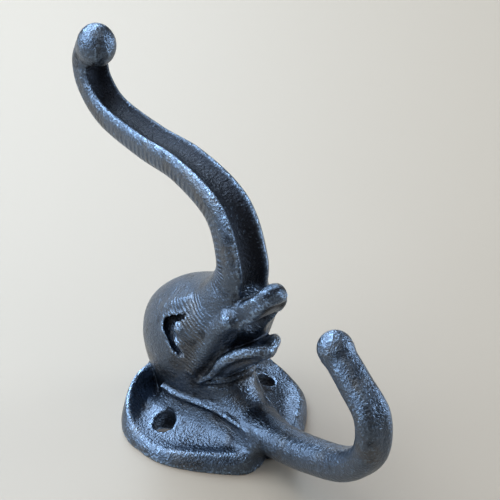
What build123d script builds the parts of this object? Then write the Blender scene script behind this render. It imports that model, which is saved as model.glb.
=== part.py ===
from build123d import *
import os

# Cast-iron coat hook in the shape of an elephant's head, one solid casting.
# Millimetres. X across the wall, Z up the wall, wall plane at Y = 0, the casting stands out to -Y.
# The origin is on the back face, midway between the two screw holes.
# "half" is a distance from the upright middle plane, "out" one from the wall, "up" one above the screw holes.

# Ears: outline of the plate that is screwed to the wall, one half of it
ear_top = 20.0
ear_crown_half = 9.0
ear_crown_up = 19.5
ear_shoulder_half = 16.0
ear_shoulder_up = 16.5
ear_upper_half = 22.0
ear_upper_up = 11.5
ear_wide_half = 26.4
ear_wide_up = 0.0
ear_flank_half = 25.3
ear_flank_up = -8.0
ear_low_half = 21.0
ear_low_up = -14.5
ear_heel_half = 14.5
ear_heel_up = -21.3
ear_lobe_half = 8.5
ear_lobe_up = -26.0
ear_notch_up = -24.5

# Rolled rim of the ears, which climbs towards the head, and the dish inside it
rim_height = 5.2
rim_top_height = 11.5
rim_climb_start = 4.0
rim_climb_end = 17.0
rim_ease = 0.4
rim_round = 2.0
rim_width = 4.6
dish_floor = 3.8
dish_round = 1.6
dish_middle_up = -2.0

# Chest: a platform between the ears, with flanks that sweep down into the dishes as (out, spread)
chest_top = 17.0
chest_shoulder_half = 12.0
chest_shoulder_up = 6.0
chest_waist_half = 9.0
chest_waist_up = -5.0
chest_narrow_half = 5.6
chest_narrow_up = -15.0
chest_bottom = -24.0
chest_sweep = [(11.4, 0.0), (8.6, 1.8), (6.4, 4.0), (4.8, 7.0), (2.0, 12.0)]
chest_inset = 3.3

# Screw holes through the ears
screw_spacing = 33.0
screw_hole_d = 6.0

# Head: sections parallel to the wall, each (out, centre up, half width, half height)
head_sections = [
    (0.5, 5.0, 11.0, 18.5),
    (9.0, 5.8, 11.2, 18.0),
    (16.0, 7.0, 13.4, 17.5),
    (24.0, 6.0, 14.6, 17.8),
    (31.0, 2.8, 13.6, 18.0),
    (38.0, -2.5, 11.6, 16.2),
    (44.0, -7.5, 9.3, 12.2),
    (49.0, -10.5, 7.0, 8.0),
    (53.0, -11.7, 4.4, 5.0),
]

# Cored hollow in the back of the head
core_half_width = 8.5
core_half_height = 12.5
core_depth = 14.0
core_up = 5.0

# Bars and tongues: flat left between the corner rounds of a section, and sections lofted along each
bar_flat = 1.1
bar_steps = 18
tongue_flat = 0.2
tongue_steps = 8

# Trunk: centre line as (out, up), then (share of the line, half width, half thickness)
trunk_path = [
    (40.0, -9.0),
    (48.0, -11.0),
    (57.0, -12.5),
    (69.0, -6.0),
    (73.5, 11.0),
    (73.0, 29.0),
    (73.7, 48.0),
    (78.3, 57.0),
    (84.5, 59.3),
    (90.0, 57.0),
]
trunk_stations = [
    (0.0, 6.8, 8.0),
    (0.2, 6.6, 6.6),
    (0.45, 5.9, 5.2),
    (0.7, 4.9, 4.5),
    (0.9, 4.3, 4.1),
    (1.0, 4.0, 4.0),
]
trunk_ball_r = 5.4
trunk_ball_out = 91.5
trunk_ball_up = 55.5

# Channel along the outer face of the trunk
channel_r = 5.4
channel_tip_r = 3.8
channel_depth = 2.0
channel_start = 0.17
channel_end = 0.96

# Lower hook: centre line as (out, up), then (share of the line, half width, half thickness)
hook_path = [
    (8.0, -8.0),
    (8.8, -20.0),
    (10.8, -31.5),
    (16.0, -45.0),
    (22.5, -57.5),
    (32.0, -66.3),
    (41.0, -66.3),
    (46.5, -59.0),
    (51.5, -53.0),
]
hook_stations = [
    (0.0, 5.6, 5.6),
    (0.2, 5.1, 4.8),
    (0.4, 4.8, 4.5),
    (0.6, 4.5, 4.1),
    (0.75, 4.3, 3.8),
    (0.85, 4.2, 3.9),
    (1.0, 4.0, 4.0),
]
hook_ball_r = 4.5
hook_ball_out = 52.3
hook_ball_up = -51.8

# Throat between the chest and the jaw
throat_path = [(4.0, -8.0), (14.0, -7.5), (24.0, -7.5), (34.0, -13.0)]
throat_stations = [(0.0, 6.5, 6.0), (0.4, 6.4, 5.8), (0.8, 6.8, 5.2), (1.0, 6.0, 4.6)]

# Upper lip, lower jaw and the hollow of the mouth between them
lip_path = [(38.0, -9.0), (45.5, -17.5), (51.5, -23.6), (56.0, -27.4)]
lip_stations = [(0.0, 7.0, 4.8), (0.35, 6.2, 3.8), (0.7, 5.0, 3.0), (1.0, 3.2, 2.3)]
lip_tip_r = 2.6
jaw_path = [(19.0, -5.5), (27.0, -13.0), (34.0, -21.0), (39.0, -27.6)]
jaw_stations = [(0.0, 8.0, 3.0), (0.4, 7.4, 2.6), (0.75, 5.0, 2.0), (1.0, 1.6, 1.2)]
jaw_tip_r = 1.4
mouth_out = 43.0
mouth_up = -21.5
mouth_half_width = 5.2
mouth_half_depth = 7.5
mouth_half_height = 3.6

# Folds of the face as (half, out, up, radius), made on one side and mirrored
cheek_fold = [
    (6.6, 45.5, -17.5, 2.6),
    (7.8, 39.5, -13.0, 2.2),
    (8.7, 33.5, -10.5, 2.0),
    (9.5, 28.0, -7.8, 1.8),
    (10.3, 22.3, -4.6, 1.2),
]
brow_crease = [
    (9.6, 40.5, -5.0, 0.5),
    (10.9, 37.5, -1.0, 1.7),
    (12.0, 34.5, 2.0, 2.1),
    (12.7, 31.5, 2.2, 2.1),
    (13.0, 29.0, 0.0, 1.7),
    (13.0, 26.5, -2.2, 0.6),
]
fold_steps = 12
socket_half = 14.2
socket_out = 35.0
socket_up = -4.0
socket_r = 3.9
eye_half = 10.9
eye_out = 34.6
eye_up = -3.9
eye_r = 1.9

wall = Plane(origin=(0, 0, 0), x_dir=(1, 0, 0), z_dir=(0, -1, 0))


def row_point(out, up):
    return Vector(0, -out, up)


def size_at(stations, place, which):
    for low, high in zip(stations, stations[1:]):
        if place <= high[0]:
            share = (place - low[0]) / (high[0] - low[0])
            return low[which] + share * (high[which] - low[which])
    return stations[-1][which]


def across(path, place):
    return Plane(origin=path @ place, x_dir=(1, 0, 0), z_dir=path % place)


def bar(points, stations, flat, steps):
    path = Spline([row_point(out, up) for out, up in points])
    sections = []
    for step in range(steps + 1):
        place = step / steps
        half_x = size_at(stations, place, 1)
        half_n = size_at(stations, place, 2)
        corner = min(half_x, half_n) - flat
        sections.append(across(path, place) * RectangleRounded(2 * half_x, 2 * half_n, corner))
    return loft(sections)


def ball(half, out, up, radius):
    return Pos(half, -out, up) * Sphere(radius)


def egg(out, up, half_width, half_depth, half_height):
    return Pos(0, -out, up) * scale(Sphere(1), by=(half_width, half_depth, half_height))


def fold(points):
    path = Spline([(-half, -out, up) for half, out, up, _ in points])
    places = [path.param_at_point((-half, -out, up)) for half, out, up, _ in points]
    rounds = [(place, point[3]) for place, point in zip(places, points)]
    shares = [step / fold_steps for step in range(fold_steps + 1)]
    return loft([Plane(origin=path @ t, z_dir=path % t) * Circle(size_at(rounds, t, 1)) for t in shares])


def pair(shape):
    return [shape, mirror(shape, Plane.YZ)]


def loop(side):
    other = [(-half, up) for half, up in reversed(side[1:-1])]
    return make_face([Spline(side + other, periodic=True)])


def ear_outline(inset):
    middle = Vector(0, dish_middle_up)
    side = [
        (0, ear_top),
        (ear_crown_half, ear_crown_up),
        (ear_shoulder_half, ear_shoulder_up),
        (ear_upper_half, ear_upper_up),
        (ear_wide_half, ear_wide_up),
        (ear_flank_half, ear_flank_up),
        (ear_low_half, ear_low_up),
        (ear_heel_half, ear_heel_up),
        (ear_lobe_half, ear_lobe_up),
        (0, ear_notch_up),
    ]
    moved = [Vector(*point) + (middle - Vector(*point)).normalized() * inset for point in side]
    return loop([(point.X, point.Y) for point in moved])


def chest_outline(spread):
    return loop([
        (0, chest_top + spread),
        (chest_shoulder_half + spread, chest_shoulder_up),
        (chest_waist_half + spread, chest_waist_up),
        (chest_narrow_half + spread, chest_narrow_up),
        (0, chest_bottom - spread),
    ])


# Ears: the outline cut to the climbing side view of the rim, rounded, then dished
side_view = Plane(origin=(-2 * ear_wide_half, 0, 0), x_dir=(0, 0, 1), z_dir=(1, 0, 0))
below = 2 * ear_lobe_up
above = 2 * ear_top
climb = Spline(
    (below, rim_height),
    (-2 * rim_climb_start, rim_height),
    (rim_climb_start, rim_height + rim_ease),
    (rim_climb_end, rim_top_height - rim_ease),
    (above, rim_top_height + rim_ease),
    tangents=[(1, 0), (1, 0)],
)
under = Polyline((below, rim_height), (below, 0), (above, 0), (above, rim_top_height + rim_ease))
ear_block = extrude(wall * ear_outline(0), 2 * rim_top_height)
ears = ear_block & extrude(side_view * make_face([climb, under]), 4 * ear_wide_half)
ears = fillet([edge for edge in ears.edges() if edge.bounding_box().max.Y < -rim_height / 2], rim_round)
dish = extrude(wall.offset(dish_floor) * ear_outline(rim_width), 2 * rim_top_height)
dish = fillet(dish.faces().sort_by(Axis.Y)[-1].edges(), dish_round)
chest = loft([wall.offset(out) * chest_outline(spread) for out, spread in chest_sweep])
chest = chest & extrude(wall * ear_outline(chest_inset), 2 * rim_top_height)
ears = ears - dish + chest

# Head
head = loft([
    Plane(origin=row_point(out, up), x_dir=(1, 0, 0), z_dir=(0, -1, 0)) * Ellipse(half_h, half_w, rotation=90)
    for out, up, half_w, half_h in head_sections
])

# Trunk with its channel and ball
trunk_line = Spline([row_point(out, up) for out, up in trunk_path])
channel_sections = []
for step in range(bar_steps + 1):
    place = channel_start + (channel_end - channel_start) * step / bar_steps
    radius = channel_r + (channel_tip_r - channel_r) * place
    drop = size_at(trunk_stations, place, 2) + radius - channel_depth
    channel_sections.append(across(trunk_line, place) * Pos(0, -drop) * Circle(radius).rotate(Axis.Z, -90))
trunk = bar(trunk_path, trunk_stations, bar_flat, bar_steps) - loft(channel_sections)
trunk = trunk + ball(0, trunk_ball_out, trunk_ball_up, trunk_ball_r)

# Lower hook, throat, lip and jaw
hook = bar(hook_path, hook_stations, bar_flat, bar_steps) + ball(0, hook_ball_out, hook_ball_up, hook_ball_r)
throat = bar(throat_path, throat_stations, bar_flat, tongue_steps)
lip = bar(lip_path, lip_stations, tongue_flat, tongue_steps) + ball(0, *lip_path[-1], lip_tip_r)
jaw = bar(jaw_path, jaw_stations, tongue_flat, tongue_steps) + ball(0, *jaw_path[-1], jaw_tip_r)
mouth = egg(mouth_out, mouth_up, mouth_half_width, mouth_half_depth, mouth_half_height)

# Face: each form is joined to the head or cut from it in turn
casting = head + throat + lip + jaw - mouth
for piece in pair(fold(cheek_fold)):
    casting = casting + piece
for piece in pair(ball(-socket_half, socket_out, socket_up, socket_r)) + pair(fold(brow_crease)):
    casting = casting - piece
for piece in pair(ball(-eye_half, eye_out, eye_up, eye_r)) + [trunk, hook, ears]:
    casting = casting + piece

# Screw holes and the hollow in the back
for side in (-1, 1):
    hole = Pos(side * screw_spacing / 2, 0, 0) * Rot(90, 0, 0) * Cylinder(screw_hole_d / 2, 4 * rim_top_height)
    casting = casting - hole
casting = casting - egg(0, core_up, core_half_width, core_depth, core_half_height)

casting = casting.solids().sort_by(SortBy.VOLUME)[-1]
casting.label = "hook_casting"
os.makedirs("parts", exist_ok=True)
export_step(casting, "parts/hook_casting.step")
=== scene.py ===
"""Looks of a cast-iron coat hook in the shape of an elephant's head.

The casting is one blended skin with no seams, which separate grids can't give, so it is worked out as
the zero level of a distance field on a regular grid, in whole numpy arrays. Lengths in the tables are
millimetres: half is the distance from the upright middle plane, out the distance from the wall, and up
the height over the screws.
"""

import bpy
import numpy as np
from mathutils import Matrix, Vector


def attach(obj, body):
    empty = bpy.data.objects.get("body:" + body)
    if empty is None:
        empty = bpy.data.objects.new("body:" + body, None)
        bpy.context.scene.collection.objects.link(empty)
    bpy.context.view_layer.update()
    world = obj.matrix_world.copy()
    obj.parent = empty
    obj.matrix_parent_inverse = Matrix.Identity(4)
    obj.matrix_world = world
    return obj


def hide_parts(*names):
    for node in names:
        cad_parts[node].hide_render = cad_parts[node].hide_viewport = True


bl_info = {
    "name": "Elephant coat hook",
    "version": (1, 0, 0),
    "blender": (4, 5, 0),
    "location": "3D View > Sidebar > Coat Hook",
    "description": "Builds a cast-iron coat hook and the table that it lies on",
    "category": "Add Mesh",
}

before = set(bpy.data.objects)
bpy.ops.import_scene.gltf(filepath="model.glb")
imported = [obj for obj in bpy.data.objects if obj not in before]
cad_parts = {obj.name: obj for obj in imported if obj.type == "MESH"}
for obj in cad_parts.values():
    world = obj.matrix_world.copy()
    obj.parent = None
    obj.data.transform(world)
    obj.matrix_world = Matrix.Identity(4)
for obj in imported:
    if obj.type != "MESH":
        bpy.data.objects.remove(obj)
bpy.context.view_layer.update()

MM = 0.001

# Room that the field covers, as (half, out, up)
FIELD_LOW = (0.0, -1.5, -73.0)
FIELD_HIGH = (29.5, 99.5, 65.5)

# Ears: outline as (half, up), and the ridge that the dished faces rise to
EAR_OUTLINE = [
    (0, 20), (9, 19.8), (16.4, 17.2), (22.7, 12.2), (25.6, 6.2), (26, 0),
    (24.6, -8), (20.6, -14.7), (14.5, -21.3), (8.5, -26), (4, -26), (0, -24),
]
CHEST_RIDGE = [(12, 6), (12, 2), (9, -5), (6.3, -11.5), (4.6, -21), (4.4, -28)]
EAR_FLOOR = 2.6
EAR_RISE = 4.8
EAR_RISE_WIDTH = 15.0
EAR_RISE_POWER = 1.6
EAR_CLIFF = 4.0
EAR_CLIFF_WIDTH = 1.8
RIM_INSET = 2.2
RIM_SPREAD = 2.3
RIM_SPREAD_IN = 5.6
RIM_CLIMB = 6.3
RIM_CLIMB_UP = (4.0, 17.0)
RIM_DIP = 2.5
RIM_DIP_UP = -4.0
RIM_DIP_WIDTH = 9.0
RIM_BLEND = 2.6
EAR_EDGE_ROUND = 2.2
EAR_SLOPE = 0.85
CHEST_EDGE = [
    (12.6, 11, 7), (12.2, 11.4, 2), (9.8, 11.6, -4.5),
    (7.2, 11.6, -11), (6, 11.2, -17), (5.2, 10.6, -23),
]
CHEST_EDGE_R = [0.5, 0.9, 1.0, 1.0, 0.9, 0.5]

# Head: sections parallel to the wall, each (out, centre up, half width, half height)
HEAD = [
    (-2, 5, 11, 18.5), (0, 5, 11, 18.5), (9, 5.8, 11.2, 18), (16, 7, 13.4, 17.5),
    (24, 6.2, 14.9, 18.1), (31, 3.4, 14.3, 18.9), (38, -2, 12.2, 16.8), (44, -8, 9, 11.6),
    (49, -11.2, 6.8, 7.4), (53, -12, 3, 3.5), (56, -12.5, 0.5, 0.5),
]
HEAD_END = 55.0

# Bars: centre line as (out, up), then (share of the line, half width, half thickness)
THROAT = [(4, -8), (14, -7.5), (24, -7.5), (34, -13)]
THROAT_SIZE = [(0, 6.5, 6), (0.4, 6.4, 5.8), (0.8, 6.8, 5.2), (1, 6, 4.6)]
TRUNK = [
    (40, -9), (48, -11.2), (57, -13.2), (69.2, -6.8), (73.5, 10.6),
    (72.6, 29), (73.4, 48), (78.3, 57), (84.5, 59.3), (90, 57),
]
TRUNK_SIZE = [(0, 6.8, 7.6), (0.2, 6.4, 6), (0.45, 5.3, 4.3), (0.7, 4.6, 4.1), (0.9, 4.6, 4.1), (1, 4.4, 4)]
HOOK = [
    (8, -8), (8.8, -20), (10.5, -31.5), (15, -45.2), (21, -57.9),
    (30.2, -66.3), (40.8, -66.7), (46.6, -59.8), (51.3, -53),
]
HOOK_SIZE = [
    (0, 5.6, 5.6), (0.2, 5.1, 4.8), (0.4, 4.9, 4.5), (0.6, 4.8, 3.9),
    (0.75, 4.7, 3.25), (0.85, 4.3, 3.6), (1, 4, 4),
]
JAW = [(19, -5.5), (26.5, -12.6), (32, -19), (35.6, -24.6)]
JAW_SIZE = [(0, 8, 3), (0.4, 7.4, 2.8), (0.75, 5, 2.6), (1, 2.2, 1.8)]
LIP = [(36.6, -10.4), (44.3, -18.4), (50.2, -24), (54.4, -27)]
LIP_SIZE = [(0, 7, 4.4), (0.35, 6.2, 3.3), (0.7, 5, 2.6), (1, 3.2, 2.2)]
LIP_TIP_R = 2.4
BAR_FLAT = 1.1
HOOK_FLAT = 0.15
CHANNEL_EDGE = 0.4
CHANNEL_R = (6.1, 3.7)
CHANNEL_SHARE = (0.09, 0.97)
CHANNEL_RUN_OUT = 0.06
CHANNEL_SHALLOWER = 0.8
THROAT_ROUND = 0.85
TONGUE_ROUND = 0.95
LIP_ROUND = 0.6
LIP_TIP_WIDER = 1.25

# Rounded forms: centre as (half, out, up), then radii along half, out and up
THROAT_FOOT = (0, 11.6, -11.4)
THROAT_FOOT_R = (5.2, 5.2, 5.6)
HOOK_BALL = (0, 52.3, -51.8)
TRUNK_BALL = (0, 90.75, 55.3)
TRUNK_BALL_LONGER = (1.0, 1.13, 1.03)
MOUTH = (0, 43, -21.5)
MOUTH_R = (5.2, 7.5, 3.6)
EYE_SOCKET = (14.2, 34, -0.4)
EYE_SOCKET_R = (2.2, 2.6, 2.8)
EYE = (11.9, 35.1, -2.6)
EYE_TALLER = 1.15
CORE = (0, -1, 5)
CORE_R = (8.5, 15, 12.5)

# Folds of the face: points as (half, out, up), then radii spread along them
JAW_RIM = [
    (9.3, 19, -6.5), (8.4, 24, -11.2), (7.8, 29.8, -15.2),
    (5.8, 33.9, -19.4), (3.5, 35.6, -22.4), (0, 36, -24.8),
]
JAW_RIM_R = [0.5, 1.0, 1.5, 1.6, 1.6, 1.5]
CHEEK_ROLL = [(6.8, 43.5, -17), (8, 38.5, -13.4), (9, 33, -10.6), (9.9, 27.5, -7.8), (10.6, 22.8, -5.2)]
CHEEK_ROLL_R = [2.6, 2.2, 2.0, 1.8, 1.2]
THROAT_WRINKLE = [(7.6, -0.8, -8), (6.2, 0, -11), (3.2, 0.6, -13.1), (0, 0.8, -13.4)]
THROAT_WRINKLE_R = [0.4, 0.8, 0.9, 0.9]
THROAT_WRINKLE_OUT = (18.6, 20.9, 23.2)
BROW_CREASE = [
    (10.2, 40, -4.6), (10.9, 37.4, -1.6), (11.4, 35.2, 1.4), (11.8, 33.7, 2.9),
    (12.1, 32.2, 2.4), (12.3, 30.6, 0.6), (12.6, 28.8, -1.8), (12.8, 27.2, -4),
]
BROW_CREASE_R = [0.5, 1.4, 1.7, 1.8, 1.7, 1.7, 1.5, 0.6]
BROW_ROLL = [(8.6, 42, -1.5), (9.3, 39, 2.2), (9.5, 36, 5.6), (10.4, 32.5, 7.4)]
BROW_ROLL_R = [1.4, 2.2, 2.3, 1.4]

# Middle of the trunk's root as (out, up), which the furrows of the face run round
FACE_ROOT = (57, -13)

# View of the photograph: the point looked at as (out, up), then the camera's distance and its angles
# over and round the table
LOOK_OUT = 62.0
LOOK_UP = -16.6
CAMERA_DISTANCE = 420.0
CAMERA_OVER = 32.0
CAMERA_ROUND = 35.3
PIXELS_PER_MM = 4.0
PICTURE_SIDE = 500
SENSOR = 36.0

# Table: its distance behind the back, and the opening that the casting covers
TABLE_GAP = 0.05
TABLE_OPENING = 0.97
TABLE_MIDDLE_UP = -3.0
TABLE_REACH = 3000.0

# Lamps: place from the point looked at in metres along (out, away, right), width, height, watts and colour
LAMPS = (
    ("window", 0.5, 0.6, -0.3, 0.8, 0.4, 9.5, "daylight"),
    ("side_window", 0.14, 0.2, 0.75, 0.45, 0.4, 4.5, "daylight"),
    ("left_window", 0.45, 0.15, -0.65, 0.8, 0.8, 9.5, "daylight"),
    ("front_fill", 0.3, -0.45, -0.6, 0.4, 0.4, 1.7, "daylight"),
    ("back_fill", -0.9, 0.0, 0.3, 0.9, 0.9, 3.0, "daylight"),
    ("ceiling", 0.9, -0.1, 0.0, 0.9, 0.9, 3.0, "ceiling"),
)
ROOM_COLOUR = (0.9, 0.93, 1.0, 1.0)
ROOM_STRENGTH = 0.12


class HookSizes(bpy.types.PropertyGroup):
    """Sizes of the casting that a user would change."""

    skin_step: bpy.props.FloatProperty(
        name="Skin step",
        description="Spacing of the grid that the skin is worked out on",
        default=0.52 * MM,
        subtype="DISTANCE",
    )
    hole_radius: bpy.props.FloatProperty(
        name="Screw hole radius",
        description="Radius of the hole in each ear",
        default=3.0 * MM,
        subtype="DISTANCE",
    )
    hole_half_spacing: bpy.props.FloatProperty(
        name="Screw hole offset",
        description="Distance of each hole from the middle",
        default=16.5 * MM,
        subtype="DISTANCE",
    )
    rim_height: bpy.props.FloatProperty(
        name="Ear rim height",
        description="Height of the rolled rim round the ears",
        default=5.2 * MM,
        subtype="DISTANCE",
    )
    trunk_ball: bpy.props.FloatProperty(
        name="Trunk ball radius",
        description="Radius of the ball on the trunk's tip",
        default=5.4 * MM,
        subtype="DISTANCE",
    )
    hook_ball: bpy.props.FloatProperty(
        name="Hook ball radius",
        description="Radius of the ball on the lower hook's tip",
        default=4.5 * MM,
        subtype="DISTANCE",
    )
    channel_depth: bpy.props.FloatProperty(
        name="Channel depth",
        description="Depth of the channel along the trunk",
        default=2.5 * MM,
        subtype="DISTANCE",
    )
    eye_radius: bpy.props.FloatProperty(
        name="Eye radius",
        description="Radius of the eyes",
        default=1.9 * MM,
        subtype="DISTANCE",
    )


class HookColours(bpy.types.PropertyGroup):
    """Colours of the iron, the table and the light."""

    # Dark colour of sooty patches, also used as painted shade in the hollows and on the trunk channel's floor
    iron_dark: bpy.props.FloatVectorProperty(
        name="Iron, hollows",
        description="Colour in the hollows",
        default=(0.02, 0.022, 0.028),
        subtype="COLOR",
    )
    iron_mid: bpy.props.FloatVectorProperty(
        name="Iron",
        description="Colour of the open skin",
        default=(0.092, 0.117, 0.157),
        subtype="COLOR",
    )
    # Light bluish colour of worn edges, also used as a painted highlight on them
    iron_worn_and_highlight: bpy.props.FloatVectorProperty(
        name="Iron, worn",
        description="Colour of rubbed edges",
        default=(0.36, 0.5, 0.7),
        subtype="COLOR",
    )
    iron_brown: bpy.props.FloatVectorProperty(
        name="Iron, brown",
        description="Colour of the brownish patches",
        default=(0.1, 0.105, 0.115),
        subtype="COLOR",
    )
    table: bpy.props.FloatVectorProperty(
        name="Table",
        description="Colour of the table",
        default=(0.42, 0.34, 0.26),
        subtype="COLOR",
    )
    daylight: bpy.props.FloatVectorProperty(
        name="Daylight",
        description="Colour of the light from the windows",
        default=(0.66, 0.82, 1.0),
        subtype="COLOR",
    )
    ceiling: bpy.props.FloatVectorProperty(
        name="Ceiling light",
        description="Colour of the light from above",
        default=(1.0, 0.95, 0.88),
        subtype="COLOR",
    )


def smooth_line(points, count):
    """Points on a smooth line through the given ones: a Catmull-Rom cubic between each two, at even steps."""
    given = np.asarray(points, np.float32)
    last = len(given) - 2
    given = np.concatenate([2 * given[:1] - given[1:2], given, 2 * given[-1:] - given[-2:-1]])
    place = np.linspace(0, last + 1, count, dtype=np.float32)
    first = np.minimum(place.astype(int), last)
    f = (place - first)[:, None]
    a, b, c, d = given[first], given[first + 1], given[first + 2], given[first + 3]
    return 0.5 * (2 * b + (c - a) * f + (2 * a - 5 * b + 4 * c - d) * f**2 + (3 * b - a - 3 * c + d) * f**3)


def smooth_min(a, b, blend):
    """The smaller of two distances, with a round fillet of about the blend's width where they meet."""
    share = np.clip(0.5 + 0.5 * (b - a) / blend, 0, 1)
    return b + (a - b) * share - blend * share * (1 - share)


def smooth_max(a, b, blend):
    """The larger of two distances, with the same fillet."""
    return -smooth_min(-a, -b, blend)


def nearest_on(line, first, second):
    """Distance to a flat line, and the place on it in steps, for arrays of points (first, second)."""
    start, run = line[:-1], np.diff(line, axis=0)
    p, q = first[..., None], second[..., None]
    t = np.clip(((p - start[:, 0]) * run[:, 0] + (q - start[:, 1]) * run[:, 1]) / (run**2).sum(1), 0, 1)
    square = (p - start[:, 0] - t * run[:, 0]) ** 2 + (q - start[:, 1] - t * run[:, 1]) ** 2
    index = square.argmin(-1)[..., None]
    place = index + np.take_along_axis(t, index, -1)
    return np.sqrt(np.take_along_axis(square, index, -1))[..., 0], place[..., 0]


def along(line, out, up):
    """Share of a bar's centre line, offset towards its back, and overshoot past its ends, for points
    (out, up): the nearest place on the line, and the rest of the way split across and along its direction."""
    _, place = nearest_on(line, out, up)
    tangent = np.gradient(line, axis=0)
    tangent /= np.linalg.norm(tangent, axis=1, keepdims=True)
    steps = np.arange(len(line))
    foot_out, foot_up = (np.interp(place, steps, line[:, k]) for k in (0, 1))
    tan_out, tan_up = (np.interp(place, steps, tangent[:, k]) for k in (0, 1))
    offset = (up - foot_up) * tan_out - (out - foot_out) * tan_up
    past = abs((out - foot_out) * tan_out + (up - foot_up) * tan_up)
    ended = (place <= 0) | (place >= len(line) - 1)
    return place / (len(line) - 1), offset, np.where(ended, past, -99)


def sizes_at(rows, share):
    """Half width and half thickness at shares of a line, straight between the table's rows."""
    rows = np.asarray(rows, np.float32)
    return [np.interp(share, rows[:, 0], rows[:, k]) for k in (1, 2)]


def rounded_bar(half, offset, past, half_x, half_n, corner):
    """Distance to a bar whose section is a rectangle with round corners: to the corner's circle outside it,
    to the nearer flat inside it."""
    over_x, over_n = half - (half_x - corner), abs(offset) - (half_n - corner)
    outside = np.hypot(np.maximum(over_x, 0), np.maximum(over_n, 0))
    return np.maximum(outside + np.minimum(np.maximum(over_x, over_n), 0) - corner, past)


class Skin:
    """Distance to the casting's surface, inside negative, on a grid of one half of it."""

    def __init__(self, low, high, step):
        self.step = step
        self.low = np.array(low, np.float32)
        axes = [np.arange(a, b + step, step, dtype=np.float32) for a, b in zip(low, high)]
        self.half, self.out, self.up = axes
        self.value = np.full((len(self.half), len(self.out), len(self.up)), 40, np.float32)
        self.side_out, self.side_up = np.meshgrid(self.out, self.up, indexing="ij")

    def block(self, low, high):
        """The grid's part between two corners, and its three axes ready to be combined."""
        axes = (self.half, self.out, self.up)
        ends = [np.searchsorted(axis, pair) for axis, pair in zip(axes, zip(low, high))]
        part = tuple(slice(max(a - 1, 0), b + 1) for a, b in ends)
        half, out, up = (axis[piece] for axis, piece in zip(axes, part))
        return part, half[:, None, None], out[None, :, None], up[None, None, :]

    def everywhere(self):
        """The whole grid, as block gives it."""
        return self.block(self.low, (self.half[-1], self.out[-1], self.up[-1]))

    def join(self, part, distance, blend, carve=False):
        """Adds a form to the skin, or carves it away, with a fillet."""
        if carve:
            self.value[part] = smooth_max(self.value[part], -distance, blend)
        else:
            self.value[part] = smooth_min(self.value[part], distance, blend)

    def bar(self, line, rows, blend, corner, groove=None):
        """A bar along a line in the middle plane. The groove, if any, is a function of half, share, offset
        and thickness."""
        part, half, _, _ = self.everywhere()
        centre = smooth_line(line, 20 * len(line))
        share, offset, past = (a[None] for a in along(centre, self.side_out, self.side_up))
        half_x, half_n = sizes_at(rows, share)
        distance = rounded_bar(half, offset, past, half_x, half_n, corner(np.minimum(half_x, half_n)))
        if groove is not None:
            distance = smooth_max(distance, -groove(half, share, offset, half_n), CHANNEL_EDGE)
        self.join(part, distance, blend)

    def egg(self, centre, radii, blend, carve=False):
        """An ellipsoid: the usual estimate k0 (k0 - 1) / k1 of its distance."""
        c, r = np.array(centre), np.array(radii)
        room = r + blend + 2
        part, half, out, up = self.block(c - room, c + room)
        u, v, w = (half - c[0]) / r[0], (out - c[1]) / r[1], (up - c[2]) / r[2]
        k0 = np.sqrt(u**2 + v**2 + w**2)
        k1 = np.sqrt((u / r[0]) ** 2 + (v / r[1]) ** 2 + (w / r[2]) ** 2) + 1e-6
        self.join(part, k0 * (k0 - 1) / k1, blend, carve)

    def fold(self, points, radii, blend, carve=False):
        """A round strand along a line in space: the least distance to its short straight runs, less the
        radius there."""
        line = smooth_line(points, 4 * len(points))
        r = np.interp(np.linspace(0, 1, len(line)), np.linspace(0, 1, len(radii)), radii)
        room = r.max() + blend + 1
        part, half, out, up = self.block(line.min(0) - room, line.max(0) + room)
        least = np.full(np.broadcast(half, out, up).shape, 99, np.float32)
        for a, b, ra, rb in zip(line[:-1], line[1:], r[:-1], r[1:]):
            run = b - a
            p, q, s = half - a[0], out - a[1], up - a[2]
            t = np.clip((p * run[0] + q * run[1] + s * run[2]) / (run @ run), 0, 1)
            reach = np.sqrt((p - t * run[0]) ** 2 + (q - t * run[1]) ** 2 + (s - t * run[2]) ** 2)
            least = np.minimum(least, reach - ra - t * (rb - ra))
        self.join(part, least, blend, carve)


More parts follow.
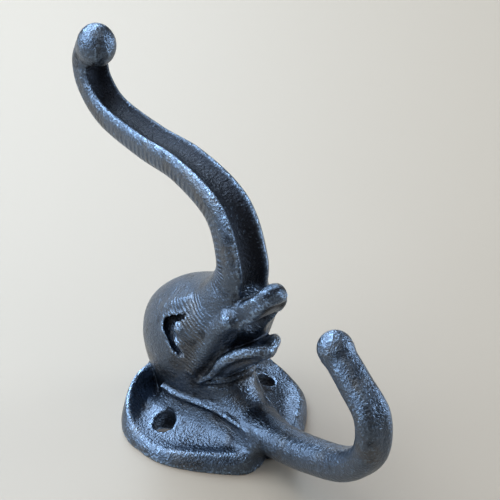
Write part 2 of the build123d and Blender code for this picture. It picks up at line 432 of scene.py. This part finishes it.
def shape_ears(skin, rim_height):
    """The ears are a plate whose height is a function of half and up: the larger of a dish that rises to
    the chest's ridge and a rim that falls off to both sides of its crest as a bell curve."""
    part, _, out, _ = skin.everywhere()
    half, up = np.meshgrid(skin.half, skin.up, indexing="ij")
    outline = smooth_line(EAR_OUTLINE, 120)
    reach, _ = nearest_on(outline, half, up)
    a, b = outline[:-1], outline[1:]
    crosses = (a[:, 1] > up[..., None]) != (b[:, 1] > up[..., None])
    rise = np.where(a[:, 1] == b[:, 1], 1, b[:, 1] - a[:, 1])
    meets = a[:, 0] + (up[..., None] - a[:, 1]) / rise * (b[:, 0] - a[:, 0])
    within = (crosses & (half[..., None] < meets)).sum(-1) % 2 == 1
    edge = np.where(within, -reach, reach)
    ridge = smooth_line(CHEST_RIDGE, 60)
    apart, _ = nearest_on(ridge, half, up)
    ridge_half = np.interp(-up, -ridge[:, 1], ridge[:, 0])
    apart = np.where((half < ridge_half) & (up < CHEST_RIDGE[0][1]), 0, apart)
    dish = EAR_FLOOR + EAR_RISE * np.clip(1 - apart / EAR_RISE_WIDTH, 0, 1) ** EAR_RISE_POWER
    dish += EAR_CLIFF * np.exp(-((apart / EAR_CLIFF_WIDTH) ** 2))
    climb = np.clip((up - RIM_CLIMB_UP[0]) / (RIM_CLIMB_UP[1] - RIM_CLIMB_UP[0]), 0, 1)
    spread = np.where(-edge < RIM_INSET, RIM_SPREAD, RIM_SPREAD_IN)
    crest = rim_height + RIM_CLIMB * climb**2 * (3 - 2 * climb)
    crest -= RIM_DIP * np.exp(-(((up - RIM_DIP_UP) / RIM_DIP_WIDTH) ** 2))
    rim = crest * np.exp(-(((-edge - RIM_INSET) / spread) ** 2))
    height = smooth_max(dish, rim, RIM_BLEND)
    plate = smooth_max(edge[:, None, :], (out - height[:, None, :]) * EAR_SLOPE, EAR_EDGE_ROUND)
    skin.join(part, plate, 0.01)


def shape_head(skin):
    """The head is a stack of ellipses parallel to the wall, whose centre and half sizes are smooth
    functions of out."""
    part, half, out, up = skin.everywhere()
    dense = smooth_line(HEAD, 40 * len(HEAD))
    centre, wide, tall = (np.interp(skin.out, dense[:, 0], dense[:, k])[None, :, None] for k in (1, 2, 3))
    u, w = half / wide, (up - centre) / tall
    k0 = np.sqrt(u**2 + w**2)
    k1 = np.sqrt((u / wide) ** 2 + (w / tall) ** 2) + 1e-6
    skin.join(part, np.maximum(0.9 * k0 * (k0 - 1) / k1, out - HEAD_END), 2.0)


def trunk_channel(depth):
    """A round groove in the trunk's outer face: distance to a circle's arc, sunk by a depth that runs out
    at both ends."""

    def groove(half, share, offset, half_n):
        radius = CHANNEL_R[0] + (CHANNEL_R[1] - CHANNEL_R[0]) * share
        starts = np.clip((share - CHANNEL_SHARE[0]) / CHANNEL_RUN_OUT, 0, 1)
        ends = np.clip((CHANNEL_SHARE[1] - share) / CHANNEL_RUN_OUT, 0, 1)
        deep = (depth - CHANNEL_SHALLOWER * share) * starts * ends
        return np.hypot(half, offset + half_n + radius - deep) - radius

    return groove


def shape_bars(skin, sizes):
    """Throat, lower hook and trunk: rounded bars along lines in the middle plane, with balls on the tips."""
    skin.bar(THROAT, THROAT_SIZE, 3.0, lambda least: THROAT_ROUND * least)
    skin.bar(HOOK, HOOK_SIZE, 3.2, lambda least: least - HOOK_FLAT)
    skin.egg(THROAT_FOOT, THROAT_FOOT_R, 3.4)
    skin.egg(HOOK_BALL, (sizes.hook_ball / MM,) * 3, 1.2)
    channel = trunk_channel(sizes.channel_depth / MM)
    skin.bar(TRUNK, TRUNK_SIZE, 3.2, lambda least: least - BAR_FLAT, channel)
    ball = sizes.trunk_ball / MM
    skin.egg(TRUNK_BALL, [longer * ball for longer in TRUNK_BALL_LONGER], 1.0)


def shape_face(skin, eye_radius):
    """Jaw and lip as flat tongues, a hollow between them, then folds and eyes."""
    skin.fold(CHEST_EDGE, CHEST_EDGE_R, 0.9)
    skin.bar(JAW, JAW_SIZE, 1.5, lambda least: TONGUE_ROUND * least)
    skin.bar(LIP, LIP_SIZE, 1.2, lambda least: LIP_ROUND * least)
    skin.egg((0, *LIP[-1]), (LIP_TIP_R * LIP_TIP_WIDER, LIP_TIP_R, LIP_TIP_R), 1.6)
    skin.egg(MOUTH, MOUTH_R, 1.0, carve=True)
    skin.fold(JAW_RIM, JAW_RIM_R, 1.2)
    skin.fold(CHEEK_ROLL, CHEEK_ROLL_R, 1.6)
    for out in THROAT_WRINKLE_OUT:
        wrinkle = [(half, out + more, up) for half, more, up in THROAT_WRINKLE]
        skin.fold(wrinkle, THROAT_WRINKLE_R, 0.5, carve=True)
    skin.fold(BROW_ROLL, BROW_ROLL_R, 1.6)
    skin.egg(EYE_SOCKET, EYE_SOCKET_R, 1.2, carve=True)
    skin.fold(BROW_CREASE, BROW_CREASE_R, 0.5, carve=True)
    skin.egg(EYE, (eye_radius, eye_radius, EYE_TALLER * eye_radius), 0.6)


def shape_back(skin, hole_half, hole_radius):
    """Screw hole through the ear, cored hollow behind the head, and the flat back at the wall."""
    part, half, out, up = skin.block((hole_half - 6, -2, -6), (hole_half + 6, 16, 6))
    hole = np.hypot(half - hole_half, up + 0 * out) - hole_radius
    skin.join(part, hole, 0.8, carve=True)
    skin.egg(CORE, CORE_R, 0.8, carve=True)
    skin.value = np.maximum(skin.value, -skin.out[None, :, None])


def skin_mesh(value, low, step):
    """Surface nets: one point in each grid cell that the zero level crosses, at the mean of the crossings
    on the cell's edges, and one quad for each grid edge that it crosses, between the four cells round it."""
    inside = value < 0
    corners = np.array([(i, j, k) for i in (0, 1) for j in (0, 1) for k in (0, 1)])
    cells = np.array(value.shape) - 1
    parts = [tuple(slice(first, first + count) for first, count in zip(c, cells)) for c in corners]
    filled = sum(inside[part].astype(np.uint8) for part in parts)
    crossed = np.argwhere((filled > 0) & (filled < 8))
    index = np.full(cells, -1, np.int32)
    index[tuple(crossed.T)] = np.arange(len(crossed))
    field = np.stack([value[tuple((crossed + c).T)] for c in corners], 1)
    total = np.zeros((len(crossed), 3))
    hits = np.zeros((len(crossed), 1))
    pairs = [(a, b) for a in range(8) for b in range(a + 1, 8) if abs(corners[a] - corners[b]).sum() == 1]
    for a, b in pairs:
        cut = ((field[:, a] < 0) != (field[:, b] < 0))[:, None]
        share = (field[:, a] / np.where(field[:, a] == field[:, b], 1, field[:, a] - field[:, b]))[:, None]
        total += np.where(cut, corners[a] + share * (corners[b] - corners[a]), 0)
        hits += cut
    points = low + step * (crossed + total / hits)
    quads = []
    for axis in range(3):
        one, two = (a for a in range(3) if a != axis)
        near = [slice(1, -1)] * 3
        near[axis] = slice(0, -1)
        far = list(near)
        far[axis] = slice(1, None)
        leaves = inside[tuple(near)]
        where = np.argwhere(leaves != inside[tuple(far)])
        turned = leaves[tuple(where.T)] == (axis == 1)
        base = where + 1
        base[:, axis] -= 1
        ring = np.empty((len(where), 4), np.int32)
        for k, (d1, d2) in enumerate(((0, 0), (1, 0), (1, 1), (0, 1))):
            cell = base.copy()
            cell[:, one] -= 1 - d1
            cell[:, two] -= 1 - d2
            ring[:, k] = index[tuple(cell.T)]
        ring[~turned] = ring[~turned][:, ::-1]
        quads.append(ring)
    return points, np.concatenate(quads)


def neighbour_mean(values, quads):
    """Mean of each point's neighbours along the quads' edges."""
    start, end = quads.ravel(), np.roll(quads, -1, axis=1).ravel()
    count = len(values)
    start, end = np.concatenate([start, end]), np.concatenate([end, start])
    number = np.bincount(start, minlength=count)
    columns = values.reshape(count, -1).T
    return np.stack([np.bincount(start, c[end], count) / number for c in columns], 1).reshape(values.shape)


def point_normals(points, quads):
    """Unit normals from the sum of the quads' area vectors round each point."""
    a, b, c, d = (points[quads[:, k]] for k in range(4))
    area = np.repeat(np.cross(c - a, d - b), 4, axis=0)
    total = np.stack([np.bincount(quads.ravel(), area[:, k], len(points)) for k in range(3)], 1)
    return total / np.linalg.norm(total, axis=1, keepdims=True)


def skin_marks(points, channel_depth):
    """Marks for the iron: millimetres along the trunk for its rings, from the trunk's root for the furrows
    of the face, how deep each is, and where the channel's floor is, which is painted dark as shade. Each
    depth is a product of ramps from 0 to 1."""
    half, out, up = abs(points[:, 0]), points[:, 1], points[:, 2]
    line = smooth_line(TRUNK, 120)
    share, offset, _ = along(line, out, up)
    reach = np.linalg.norm(np.diff(line, axis=0), axis=1).sum()
    half_x, half_n = sizes_at(TRUNK_SIZE, share)
    on_trunk = np.clip(half_n + 1.5 - abs(offset), 0, 1) * np.clip(half_x + 1.5 - half, 0, 1)
    ringed = np.clip((share - 0.1) / 0.1, 0, 1) * np.clip((0.75 - share) / 0.2, 0, 1)
    ringed *= np.clip((offset + 1.5) / 2, 0, 1)
    # Floor of the trunk's channel, which the iron paints dark as shade
    floor = trunk_channel(channel_depth)(half, share, offset, half_n)
    floor_half = (0.55 + 0.4 * share) * half_x
    floor_mark = np.clip(1.6 - abs(floor) * 2, 0, 1) * np.clip((floor_half - half) / 0.9, 0, 1)
    floor_mark *= (offset < 0) & (share > CHANNEL_SHARE[0] + 0.02) & (share < 0.999)
    root = np.linalg.norm(np.stack([half, out - FACE_ROOT[0], up - FACE_ROOT[1]], 1), axis=1)
    furrowed = np.clip((out - 20) / 6, 0, 1) * np.clip((40 - root) / 6, 0, 1) * np.clip((half - 4) / 3, 0, 1)
    furrowed *= np.clip((up + 16) / 6, 0, 1) * (1 - on_trunk)
    return (
        ("ring_mm", share * reach),
        ("ring_depth", on_trunk * ringed),
        ("furrow_mm", root),
        ("furrow_depth", furrowed),
        ("channel_floor", floor_mark),
    )


class Wire:
    """One value in a shader. Sums, products and the like on it add Math nodes."""

    def __init__(self, shader, socket):
        self.shader = shader
        self.socket = socket

    def math(self, operation, *values):
        """A Math node on the given values."""
        return self.shader.node("ShaderNodeMath", {"operation": operation}, list(values))

    def __add__(self, other):
        return self.math("ADD", self, other)

    def __sub__(self, other):
        return self.math("SUBTRACT", self, other)

    def __rsub__(self, other):
        return self.math("SUBTRACT", other, self)

    def __mul__(self, other):
        return self.math("MULTIPLY", self, other)

    __radd__ = __add__
    __rmul__ = __mul__

    def sine(self):
        return self.math("SINE", self)

    def between(self, low, high):
        """0 below low, 1 above high, smooth between."""
        settings = {"interpolation_type": "SMOOTHSTEP"}
        values = {"Value": self, "From Min": low, "From Max": high}
        return self.shader.node("ShaderNodeMapRange", settings, values)


class Finish:
    """A material under construction."""

    def __init__(self, name):
        self.material = bpy.data.materials.new(name)
        self.material.use_nodes = True
        self.tree = self.material.node_tree
        self.tree.nodes.clear()

    def node(self, kind, settings=None, values=None, output=0):
        """Adds a node, sets it up, fills or links its sockets, and gives one of its outputs."""
        made = self.tree.nodes.new(kind)
        for key, value in (settings or {}).items():
            setattr(made, key, value)
        named = values.items() if isinstance(values, dict) else enumerate(values or [])
        for key, value in named:
            if isinstance(value, Wire):
                self.tree.links.new(value.socket, made.inputs[key])
            else:
                made.inputs[key].default_value = value
        return Wire(self, made.outputs[output])

    def mark(self, name):
        """One of the piece's own marks."""
        return self.node("ShaderNodeAttribute", {"attribute_name": name}, output=2)

    def noise(self, place, scale, detail, roughness=0.5):
        """Noise from 0 to 1, its scale in cells a metre."""
        values = {"Vector": place, "Scale": scale, "Detail": detail, "Roughness": roughness}
        return self.node("ShaderNodeTexNoise", None, values)

    def mix(self, share, first, second):
        """The first colour at share 0, the second at 1."""
        settings = {"data_type": "RGBA"}
        return self.node("ShaderNodeMix", settings, {0: share, 6: first, 7: second}, output=2)

    def show(self, surface):
        """Links the surface to the output and gives the material."""
        output = self.tree.nodes.new("ShaderNodeOutputMaterial")
        self.tree.links.new(surface.socket, output.inputs["Surface"])
        return self.material


def solid_colour(colour):
    """A colour with full opacity."""
    return (*colour, 1.0)


def cast_iron(colours):
    """Dark sand-cast iron: grainy skin; its edges lighter and bluer as worn iron and as a painted highlight
    with painted sparkle from the grain, its hollows darker as darker iron and painted shade, the floor of the
    trunk's channel painted dark as shade, and browner in patches.
    """
    finish = Finish("cast_iron")
    place = finish.node("ShaderNodeTexCoord", output=3)
    wear = finish.mark("wear")
    ring_mm = finish.mark("ring_mm")
    ring_depth = finish.mark("ring_depth")
    furrow_mm = finish.mark("furrow_mm")
    furrow_depth = finish.mark("furrow_depth")
    channel_floor = finish.mark("channel_floor")
    grain = finish.noise(place, 1500, 2, 0.6)
    pits = finish.noise(place, 620, 3, 0.6)
    patch = finish.noise(place, 90, 3, 0.55)
    # Worn edges and grain speckles in the light bluish colour: partly worn iron, partly a painted highlight
    # and painted sparkle
    rubbed_and_highlit = (wear * 1.7 + (pits - 0.5) * 0.9 + (grain - 0.5) * 1.3).between(0.14, 0.95)
    # Hollows in the dark colour: partly darker iron, partly painted shade
    hollow = (0 - wear + (pits - 0.5) * 0.6).between(0.05, 0.7)
    browned = patch.between(0.5, 0.68)
    sooty = (finish.noise(place, 170, 4, 0.65) + (grain - 0.5) * 0.5 - wear * 0.35).between(0.53, 0.66)
    colour = finish.mix(browned, solid_colour(colours.iron_mid), solid_colour(colours.iron_brown))
    colour = finish.mix(sooty * 0.8, colour, solid_colour(colours.iron_dark))
    colour = finish.mix(hollow, colour, solid_colour(colours.iron_dark))
    colour = finish.mix(rubbed_and_highlit, colour, solid_colour(colours.iron_worn_and_highlight))
    # Painted shade: the floor of the trunk's channel is coloured dark, broken by the grain
    channel_shade = channel_floor * (1 - grain.between(0.58, 0.7) * 0.7)
    colour = finish.mix(channel_shade, colour, solid_colour(colours.iron_dark))
    rough = 0.33 + (grain - 0.5) * 0.3 + hollow * 0.12 - rubbed_and_highlit * 0.1 + channel_shade * 0.2
    rings = (ring_mm * 4.6).sine() * ring_depth
    furrows = (furrow_mm * 5.4 + patch * 20).sine() * furrow_depth * patch.between(0.38, 0.6)
    coarse = 0.55 + wear.between(0, 0.5) * 0.6 + channel_floor * 0.4
    height = (grain + pits) * coarse + rings * 0.2 + furrows * 0.12
    bump = finish.node("ShaderNodeBump", None, {"Strength": 1.0, "Distance": 0.5 * MM, "Height": height})
    surface = {"Base Color": colour, "Roughness": rough, "Metallic": 1.0, "Normal": bump}
    return finish.show(finish.node("ShaderNodeBsdfPrincipled", None, surface))


def table_top(colour):
    """A plain pale table, seen from its top side only."""
    finish = Finish("table_top")
    under = finish.node("ShaderNodeNewGeometry", output=6)
    surface = {"Base Color": solid_colour(colour), "Roughness": 0.55}
    top = finish.node("ShaderNodeBsdfPrincipled", None, surface)
    clear = finish.node("ShaderNodeBsdfTransparent")
    return finish.show(finish.node("ShaderNodeMixShader", None, [under, top, clear]))


def table_ring():
    """Points, edges and quads of a flat ring: the ears' outline drawn in about its middle, and the same
    rays run far out, so the casting's back, which covers the opening, gets light when seen from behind."""
    right_side = smooth_line(EAR_OUTLINE, 60)[:-1]
    left_side = smooth_line(EAR_OUTLINE, 60)[:0:-1] * (-1, 1)
    rays = np.concatenate([right_side, left_side]) - (0, TABLE_MIDDLE_UP)
    far = rays / np.linalg.norm(rays, axis=1, keepdims=True) * TABLE_REACH
    flat = np.concatenate([rays * TABLE_OPENING, far]) + (0, TABLE_MIDDLE_UP)
    points = np.stack([flat[:, 0], np.full(len(flat), TABLE_GAP), flat[:, 1]], 1) * MM
    first = np.arange(len(rays))
    following = np.roll(first, -1)
    return points, [], np.stack([first, following, following + len(rays), first + len(rays)], 1)


def view_axes():
    """Directions to the camera, to the picture's right and to its top, in the row frame."""
    over, turn = np.radians(CAMERA_OVER), np.radians(CAMERA_ROUND)
    back = Vector((-np.sin(turn) * np.cos(over), -np.sin(over), -np.cos(turn) * np.cos(over)))
    right = Vector((np.cos(turn), 0, -np.sin(turn)))
    return back, right, back.cross(right)


class HOOK_OT_casting(bpy.types.Operator):
    """Build the casting's skin and its iron"""

    bl_idname = "hook.casting"
    bl_label = "Casting"

    def execute(self, context):
        sizes, colours = context.scene.hook_sizes, context.scene.hook_colours
        skin = Skin(FIELD_LOW, FIELD_HIGH, sizes.skin_step / MM)
        shape_ears(skin, sizes.rim_height / MM)
        shape_head(skin)
        shape_bars(skin, sizes)
        shape_face(skin, sizes.eye_radius / MM)
        shape_back(skin, sizes.hole_half_spacing / MM, sizes.hole_radius / MM)
        both = np.concatenate([skin.value[1:][::-1], skin.value])
        low = np.array((-skin.half[-1], skin.low[1], skin.low[2]))
        points, quads = skin_mesh(both, low, skin.step)
        row = np.stack([points[:, 0], -points[:, 1], points[:, 2]], 1)
        normals = point_normals(row, quads)
        # Convexity of the skin, which lightens edges with a painted highlight and darkens hollows with
        # painted shade in the iron
        wear = ((row - neighbour_mean(row, quads)) * normals).sum(1) / skin.step
        for _ in range(4):
            wear = neighbour_mean(wear, quads)
        mesh = bpy.data.meshes.new("hook_skin")
        mesh.from_pydata(row * MM, [], quads)
        mesh.shade_smooth()
        marks = (("wear", np.clip(wear * 4.0, -1, 1)), *skin_marks(points, sizes.channel_depth / MM))
        for name, values in marks:
            mark = mesh.attributes.new(name, "FLOAT", "POINT")
            mark.data.foreach_set("value", values.astype(np.float32))
        mesh.materials.append(cast_iron(colours))
        casting = bpy.data.objects.new("hook_skin", mesh)
        context.scene.collection.objects.link(casting)
        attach(casting, "root")
        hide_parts("hook_casting")
        return {"FINISHED"}


class HOOK_OT_stage(bpy.types.Operator):
    """Lay the table at the wall plane and set soft light and the camera"""

    bl_idname = "hook.stage"
    bl_label = "Stage"

    def execute(self, context):
        colours = context.scene.hook_colours
        mesh = bpy.data.meshes.new("table")
        mesh.from_pydata(*table_ring())
        mesh.materials.append(table_top(colours.table))
        table = bpy.data.objects.new("table", mesh)
        context.scene.collection.objects.link(table)
        back, right, top = view_axes()
        target = Vector((0, -LOOK_OUT, LOOK_UP)) * MM
        out = Vector((0, -1, 0))
        away = (-(back - out * back.dot(out))).normalized()
        for name, in_front, beyond, aside, wide, tall, power, colour in LAMPS:
            place = in_front * out + beyond * away + aside * right
            lamp = bpy.data.lights.new(name, "AREA")
            lamp.shape = "RECTANGLE"
            lamp.size = wide
            lamp.size_y = tall
            lamp.energy = power
            lamp.color = getattr(colours, colour)
            light = bpy.data.objects.new(name, lamp)
            light.location = target + place
            light.rotation_euler = (-place).to_track_quat("-Z", "Y").to_euler()
            context.scene.collection.objects.link(light)
        world = bpy.data.worlds.new("room")
        world.use_nodes = True
        background = world.node_tree.nodes["Background"]
        background.inputs["Color"].default_value = ROOM_COLOUR
        background.inputs["Strength"].default_value = ROOM_STRENGTH
        context.scene.world = world
        context.scene.view_settings.view_transform = "Standard"
        camera = bpy.data.cameras.new("camera")
        camera.sensor_width = SENSOR
        camera.lens = PIXELS_PER_MM * CAMERA_DISTANCE / PICTURE_SIDE * SENSOR
        camera.clip_start = 0.01
        shown = bpy.data.objects.new("camera", camera)
        turn = Matrix((right, top, back)).transposed().to_4x4()
        shown.matrix_world = Matrix.Translation(target + back * CAMERA_DISTANCE * MM) @ turn
        context.scene.collection.objects.link(shown)
        context.scene.camera = shown
        return {"FINISHED"}


class HOOK_PT_panel(bpy.types.Panel):
    """Pieces of the coat hook"""

    bl_idname = "HOOK_PT_panel"
    bl_label = "Coat Hook"
    bl_space_type = "VIEW_3D"
    bl_region_type = "UI"
    bl_category = "Coat Hook"

    def draw(self, context):
        for group in (context.scene.hook_sizes, context.scene.hook_colours):
            for name in group.bl_rna.properties.keys():
                if name not in ("rna_type", "name"):
                    self.layout.prop(group, name)
        for operator in (HOOK_OT_casting, HOOK_OT_stage):
            self.layout.operator(operator.bl_idname)


CLASSES = (HookSizes, HookColours, HOOK_OT_casting, HOOK_OT_stage, HOOK_PT_panel)


def register():
    for item in CLASSES:
        bpy.utils.register_class(item)
    bpy.types.Scene.hook_sizes = bpy.props.PointerProperty(type=HookSizes)
    bpy.types.Scene.hook_colours = bpy.props.PointerProperty(type=HookColours)


def unregister():
    del bpy.types.Scene.hook_colours
    del bpy.types.Scene.hook_sizes
    for item in reversed(CLASSES):
        bpy.utils.unregister_class(item)


def main():
    """Builds the pieces."""
    register()
    bpy.ops.hook.casting()
    bpy.ops.hook.stage()


if __name__ == "__main__":
    main()
